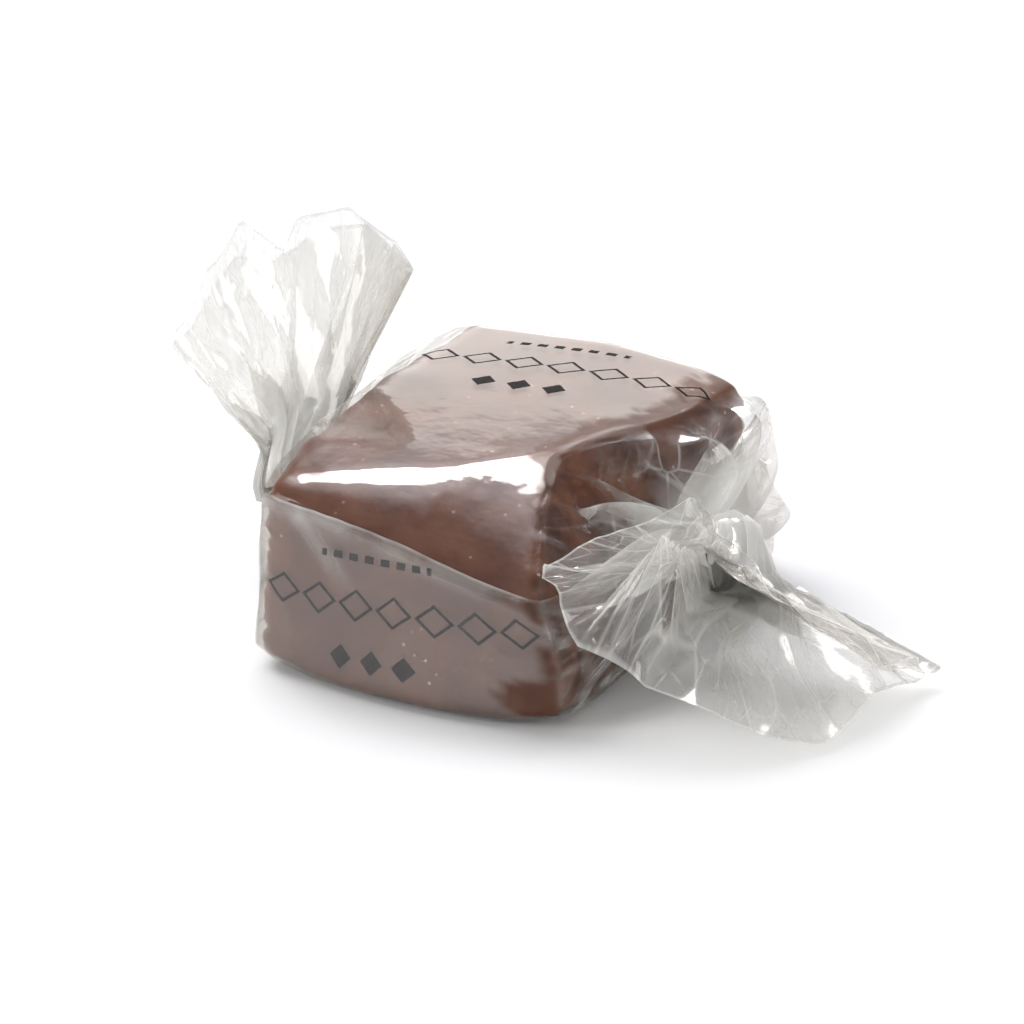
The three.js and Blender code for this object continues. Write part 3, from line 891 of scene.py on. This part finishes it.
bpy.ops.object.select_all(action="DESELECT")
bpy.ops.mesh.primitive_grid_add(x_subdivisions=row_count - 1, y_subdivisions=columns, size=2)
film = bpy.context.object
film.name = "clear_film"
grid = mesh_points(film.data) * MM
row_of = np.round((grid[:, 0] + 1) / 2 * (row_count - 1)).astype(int)
column_of = np.round((grid[:, 1] + 1) / 2 * columns).astype(int)
set_mesh_points(film.data, film_points[row_of, column_of])


def clinging(points, apart, fresh_x):
    """Where the film sticks to the caramel, in patches with an uneven edge: 0 to 1."""
    coarse, fine = (
        np.array([noise.noise(Vector(point) * waves) for point in points.reshape(-1, 3)])
        for waves in (RAGGED_WAVES, FINE_RAGGED_WAVES))
    ragged = (coarse + 0.5 * fine).reshape(apart.shape)
    stuck = np.zeros(apart.shape)
    for middle, size in STUCK_PATCHES:
        off = np.sqrt(sum(((points[..., axis] - middle[axis]) / size[axis]) ** 2 for axis in range(3)))
        stuck = np.maximum(stuck, 1 - smooth_step(off + PATCH_RAGGED_BY * ragged, 0.8, 1.05))
    band = np.where(points[..., 1] > STUCK_FRONT_EDGE, STUCK_FROM_BACK, STUCK_FROM_FRONT)
    in_band = smooth_step(fresh_x + BAND_RAGGED_BY * ragged, band, band + STUCK_BAND_EDGE)
    close = 1 - smooth_step(apart + CLOSE_RAGGED_BY * ragged, STUCK_WITHIN, LOOSE_BEYOND)
    return np.maximum(stuck, in_band) * close


def bend_of(points):
    """How sharply the sheet is folded at each point, as the turn between its neighbours."""
    bend = np.zeros(points.shape[:2])
    for axis in (0, 1):
        ahead = np.roll(points, -1, axis=axis) - points
        behind = points - np.roll(points, 1, axis=axis)
        ahead /= np.linalg.norm(ahead, axis=2)[:, :, None] + 1e-6
        behind /= np.linalg.norm(behind, axis=2)[:, :, None] + 1e-6
        turn = np.linalg.norm(ahead - behind, axis=2)
        edge = [slice(None), slice(None)]
        edge[axis] = [0, -1]
        turn[tuple(edge)] = 0
        bend = np.maximum(bend, turn)
    return bend


def by_end(name):
    """The strength of a mark in each row."""
    return np.where(at_left, *END_STRENGTHS[name])


# What the finish reads from each row, column or point of the sheet.
off_block = smooth_step(from_fan_edge, end_count, end_count - 4)
off_neck = smooth_step(from_fan_edge, FAN_ROWS + 6, FAN_ROWS - 4)
off_neck_middle = abs(from_fan_edge - FAN_ROWS - NECK_ROWS / 2)
in_neck = 1 - smooth_step(off_neck_middle, NECK_ROWS * 0.6, NECK_ROWS * 1.4)
# creases is how sharply the sheet is bent; the finish paints white glint lines along it.
creases = smooth_step(bend_of(film_points), 0.12, 0.75) * off_block[:, None] * by_end("creased")[:, None]
fresh_x = np.pad(body_x, end_count, mode="edge")[:, None]
sheet_rim = np.zeros((row_count, columns + 1))
sheet_rim[0] = sheet_rim[-1] = sheet_rim[:, 0] = sheet_rim[:, -1] = 1
beside_lap = (1 - smooth_step(sheet_places, 0.4, 2.6)) ** 2
mark_points(film.data, "bunched", (in_neck * by_end("bunched"))[row_of])
mark_points(film.data, "sheet_edge", sheet_rim[row_of, column_of])
mark_points(film.data, "creased", creases[row_of, column_of])
mark_points(film.data, "loose", (off_block * by_end("loose"))[row_of])
mark_points(film.data, "open_film", (off_neck * by_end("open_film"))[row_of])
mark_points(film.data, "stuck", clinging(film_points, apart, fresh_x)[row_of, column_of])
mark_points(film.data, "lap_band", beside_lap[column_of])

# The film's UV map is the flat sheet, along the twist and round the block, from the block's underside.
MM_IN_UV = 100.0
corner_vertices = np.zeros(len(film.data.loops), np.int32)
film.data.loops.foreach_get("vertex_index", corner_vertices)
flat_sheet = np.stack([length_along[row_of], sheet_places[column_of] - lap_of_row[row_of]], axis=1)
flat_corners = (flat_sheet[corner_vertices] / MM_IN_UV).astype(np.float32)
film.data.uv_layers[0].data.foreach_set("uv", flat_corners.ravel())

wall = film.modifiers.new("film_wall", "SOLIDIFY")
wall.thickness = FILM_THICKNESS * MM
wall.offset = 0
bpy.ops.object.modifier_apply(modifier=wall.name)
bpy.ops.object.shade_smooth_by_angle(angle=CREASE_ANGLE)

# The print, in mm on the flat sheet: a row of dashes, a chain of open lozenges, and three small solid
# ones. It is repeated round the block. A pitch is from one middle to the next, and a half is from a
# middle to an edge. An open lozenge is as many times larger than its hole as CHAIN_INSIDE says.
PRINT_REPEAT = 66.5
PRINT_START = 25.4
PRINT_MIDDLE = -2.6
PRINT_SOFTNESS = 0.03
DASH_PITCH = 1.5
DASH_HALF_LENGTH = 0.42
DASH_HALF_HEIGHT = 0.3
DASHES_ABOVE_CHAIN = 4.0
DASHES_HALF_LENGTH = 5.3
CHAIN_PITCH = 3.6
CHAIN_HALF_WIDTH = 1.7
CHAIN_HALF_HEIGHT = 1.4
CHAIN_INSIDE = 1.3
CHAIN_MIDDLE = 1.8
CHAIN_HALF_LENGTH = 12.7
SOLID_PITCH = 3.0
SOLID_HALF_SIZE = 1.05
SOLIDS_BELOW_CHAIN = 4.5
SOLIDS_HALF_LENGTH = 4.5

thin_film = Finish(bpy.data.materials.new("clear_film"))
sheet_place = thin_film.node("ShaderNodeSeparateXYZ", None, {0: thin_film.node("ShaderNodeUVMap").out(0)})
along_film = sheet_place.out(0) * MM_IN_UV
round_film = sheet_place.out(1) * MM_IN_UV
across_mark = along_film - PRINT_MIDDLE
down_mark = round_film.turns(PRINT_REPEAT, PRINT_START)


def inside(size):
    """1 where a size is below 1, 0 where it is above."""
    return size.below(1.0, PRINT_SOFTNESS)


def within(place, half_size):
    """1 nearer to a middle than half_size, 0 past it."""
    return inside(place.apart() * (1 / half_size))


def lozenge(x, y, half_width, half_height):
    """A size that is 1 on the outline of a lozenge, less inside it and more outside."""
    return x.apart() * (1 / half_width) + y.apart() * (1 / half_height)


dashes = within(across_mark.turns(DASH_PITCH, 0.0), DASH_HALF_LENGTH) \
    * within(down_mark + DASHES_ABOVE_CHAIN, DASH_HALF_HEIGHT) * within(across_mark, DASHES_HALF_LENGTH)
link = lozenge(across_mark.turns(CHAIN_PITCH, 0.0), down_mark, CHAIN_HALF_WIDTH, CHAIN_HALF_HEIGHT)
chain = inside(link) * (1 - inside(link * CHAIN_INSIDE)) \
    * within(across_mark - CHAIN_MIDDLE, CHAIN_HALF_LENGTH)
solid = lozenge(
    across_mark.turns(SOLID_PITCH, -SOLID_PITCH / 2), down_mark - SOLIDS_BELOW_CHAIN,
    SOLID_HALF_SIZE, SOLID_HALF_SIZE)
ink = dashes + chain + inside(solid) * within(across_mark, SOLIDS_HALF_LENGTH)

# The film's look, as the share of light that each part of it takes. Straight on it mirrors little, at
# a low angle much, and nowhere that it sticks to the caramel. It is clouded where it is loose or
# bunched, at the sheet's edges, and along the lap. White lines along its creases and facet folds are
# painted glints of their rounded bends, and a slanted white band on the front is a painted glare; all
# are laid on as white veil. Scales are for each mm of the flat sheet, or for each metre.
CLEAR_TINT = (0.93, 0.925, 0.908, 1)
MIRROR_TINT = (1, 0.962, 0.932, 1)
VEIL_TINT = (0.82, 0.815, 0.79, 1)
INK_BLACK = (0.012, 0.012, 0.013, 1)
SHADOW_TINT = (0.94, 0.94, 0.935, 1)
MIRROR_STRAIGHT_ON = 0.062
MIRROR_STEEPNESS = 4.6
MIRROR_ROUGHNESS = 0.06
FACETS = 0.3
FACET_STRETCH = 0.24
FACET_TILT = 0.5
FINE_FACETS = 0.75
RIPPLES = 420
RIPPLE_DEPTH = 0.4 * MM
STREAKS = 160
CLEAR_HAZE = 0.018
VEIL_LET_THROUGH = 0.45

# A painted glare: a slanted white band over the front face, running from under the lap. Where its
# line crosses the sheet, where it starts, and how far it runs.
SLANT = 0.707
GLARE_LINE = 3.9
GLARE_START = 26.5
GLARE_HALF_WIDTH = 0.7
GLARE_LENGTH = 7.5


def marked(name):
    """A number that the film's points carry."""
    return thin_film.node("ShaderNodeAttribute", {"attribute_name": name}).out("Fac")


def facets_of(scale, output, feature="F1"):
    """Flat facets of the crumpled sheet, long round the block."""
    settings = {"voronoi_dimensions": "2D", "feature": feature}
    inputs = {"Vector": facet_place, "Scale": scale}
    return thin_film.node("ShaderNodeTexVoronoi", settings, inputs).out(output)


film_place = thin_film.node("ShaderNodeTexCoord").out("Object")
stuck, loose = marked("stuck"), marked("loose")
facing = thin_film.node("ShaderNodeLayerWeight", None, {"Blend": 0.5}).out("Facing")
mirror_share = MIRROR_STRAIGHT_ON + (1 - MIRROR_STRAIGHT_ON) * facing ** MIRROR_STEEPNESS
mirror_share = mirror_share * (1 - stuck * 0.92)

facet_place = thin_film.node("ShaderNodeCombineXYZ", None, {
    0: along_film * FACET_STRETCH, 1: round_film}).out(0)
facets = facets_of(FACETS, "Color")
facet_haze = thin_film.node("ShaderNodeSeparateXYZ", None, {0: facets}).out(2)
# White lines along the facets' edges are painted glints of the folds' rounded bends.
folds = facets_of(FACETS, "Distance", "DISTANCE_TO_EDGE")
fine_folds = facets_of(FINE_FACETS, "Distance", "DISTANCE_TO_EDGE")
tilt = thin_film.vector_maths("SUBTRACT", facets, (0.5, 0.5, 0.5))
tilt = thin_film.node("ShaderNodeVectorMath", {"operation": "SCALE"}, {
    0: tilt, "Scale": loose * FACET_TILT}).out(0)
facet_normal = thin_film.vector_maths("ADD", tilt, thin_film.node("ShaderNodeNewGeometry").out("Normal"))
rippled = thin_film.node("ShaderNodeBump", None, {
    "Strength": 0.12,
    "Distance": RIPPLE_DEPTH,
    "Height": uneven_noise(thin_film, film_place, RIPPLES, 2),
    "Normal": thin_film.vector_maths("NORMALIZE", facet_normal),
}).out(0)

streaks = uneven_noise(thin_film, film_place, STREAKS, 3)
# The painted glare's band, from 0 to 1, laid on as white veil.
across_glare = (along_film - round_film - GLARE_LINE) * SLANT
along_glare = (along_film + round_film + GLARE_START) * SLANT
painted_glare = across_glare.apart().below(GLARE_HALF_WIDTH, 0.6) \
    * along_glare.above(GLARE_HALF_WIDTH, 0.6) * along_glare.below(GLARE_LENGTH, 2.4)
haze_and_glints = CLEAR_HAZE
# Each share whitens the film. The lines along creases and folds are painted glints, and the slanted band
# is a painted glare.
for whitening, share in (
        (marked("open_film"), 0.09),
        (loose * facet_haze, 0.14),
        (marked("bunched"), 0.6),
        (marked("sheet_edge").above(0.6, 0.3), 0.45),
        (marked("creased"), 0.25),
        (folds.below(0.03, 0.03) * loose, 0.3),
        (marked("lap_band") * streaks.above(0.42, 0.12), 0.5),
        (fine_folds.below(0.035, 0.03) * streaks.above(0.5, 0.1) * loose, 0.35),
        (painted_glare, 0.38)):
    haze_and_glints = haze_and_glints + whitening * share
haze_and_glints = haze_and_glints * (1 - stuck * 0.75)

clear = thin_film.node("ShaderNodeBsdfTransparent", None, {"Color": CLEAR_TINT}).out(0)
pale = thin_film.node("ShaderNodeBsdfDiffuse", None, {"Color": VEIL_TINT}).out(0)
let_through = thin_film.node("ShaderNodeBsdfTranslucent", None, {"Color": VEIL_TINT}).out(0)
veil = thin_film.mix_shaders(VEIL_LET_THROUGH, pale, let_through)
black = thin_film.node("ShaderNodeBsdfDiffuse", None, {"Color": INK_BLACK}).out(0)
mirror = thin_film.node("ShaderNodeBsdfGlossy", None, {
    "Color": MIRROR_TINT, "Roughness": MIRROR_ROUGHNESS, "Normal": rippled}).out(0)
hazy_and_glinting = thin_film.mix_shaders(haze_and_glints, clear, veil)
printed = thin_film.mix_shaders(ink * 0.95, hazy_and_glinting, black)
glossy = thin_film.mix_shaders(mirror_share * (1 - ink * 0.9), printed, mirror)

# Light meets the two faces of the thin wall one after the other, so the one that it leaves by is plain
# clear. A shadow ray passes with a little loss, so that the film's shadow is pale and free of grain.
leaving = thin_film.node("ShaderNodeNewGeometry").out("Backfacing")
passing = thin_film.node("ShaderNodeBsdfTransparent", None, {"Color": WHITE}).out(0)
one_wall = thin_film.mix_shaders(leaving, glossy, passing)
lamp_ray = thin_film.node("ShaderNodeLightPath").out("Is Shadow Ray")
shade = thin_film.node("ShaderNodeBsdfTransparent", None, {"Color": SHADOW_TINT}).out(0)
thin_film.cover(film, thin_film.mix_shaders(lamp_ray, one_wall, shade))
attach(film, "root")
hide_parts("wrapper")
